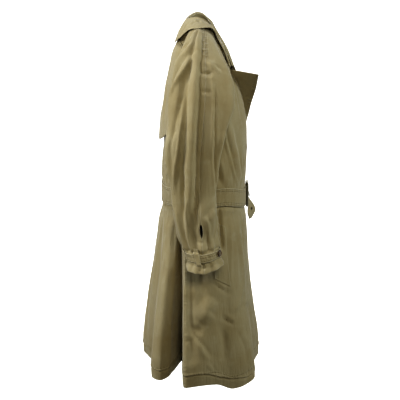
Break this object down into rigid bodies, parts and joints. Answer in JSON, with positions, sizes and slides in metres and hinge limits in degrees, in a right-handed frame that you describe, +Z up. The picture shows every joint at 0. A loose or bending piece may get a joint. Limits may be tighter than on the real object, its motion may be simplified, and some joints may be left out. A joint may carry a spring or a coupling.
{
  "type": "trench coat",
  "caption": "Knee-length belted raglan trench coat, kept in its worn, hollow form: open collar and lapel, storm flap, buckled belt, strapped cuffs and a flared skirt.",
  "frame": {"origin": "in the coat's mid-plane, under the neck at the height of the neck seam, where the wearer's neck and shoulders carry the coat", "axes": "+Z up towards the collar, the buttoned front faces -Y, the wearer's right side is at -X"},
  "size_m": [0.667, 0.3845, 1.115],
  "materials": {
    "gabardine": "fine twill with a faint sheen",
    "horn": "polished dark brown",
    "leather": "smooth"
  },
  "bodies": {
    "root": {"back_left": "gabardine", "back_right": "gabardine", "belt": "gabardine", "belt_buckle": "leather", "belt_loop_left": "gabardine", "belt_loop_right": "gabardine", "belt_tail": "gabardine", "buckle_tongue": "leather", "collar_leaf": "gabardine", "collar_stand": "gabardine", "cuff_button_left": "horn", "cuff_button_right": "horn", "cuff_loop_left": "gabardine", "cuff_loop_right": "gabardine", "cuff_strap_left": "gabardine", "cuff_strap_right": "gabardine", "front_button_1": "horn", "front_button_2": "horn", "front_button_3": "horn", "front_button_4": "horn", "front_button_5": "horn", "front_left": "gabardine", "front_right": "gabardine", "pocket_welt_left": "gabardine", "pocket_welt_right": "gabardine", "sleeve_back_left": "gabardine", "sleeve_back_right": "gabardine", "sleeve_front_left": "gabardine", "sleeve_front_right": "gabardine", "storm_flap": "gabardine"}
  },
  "joints": []
}
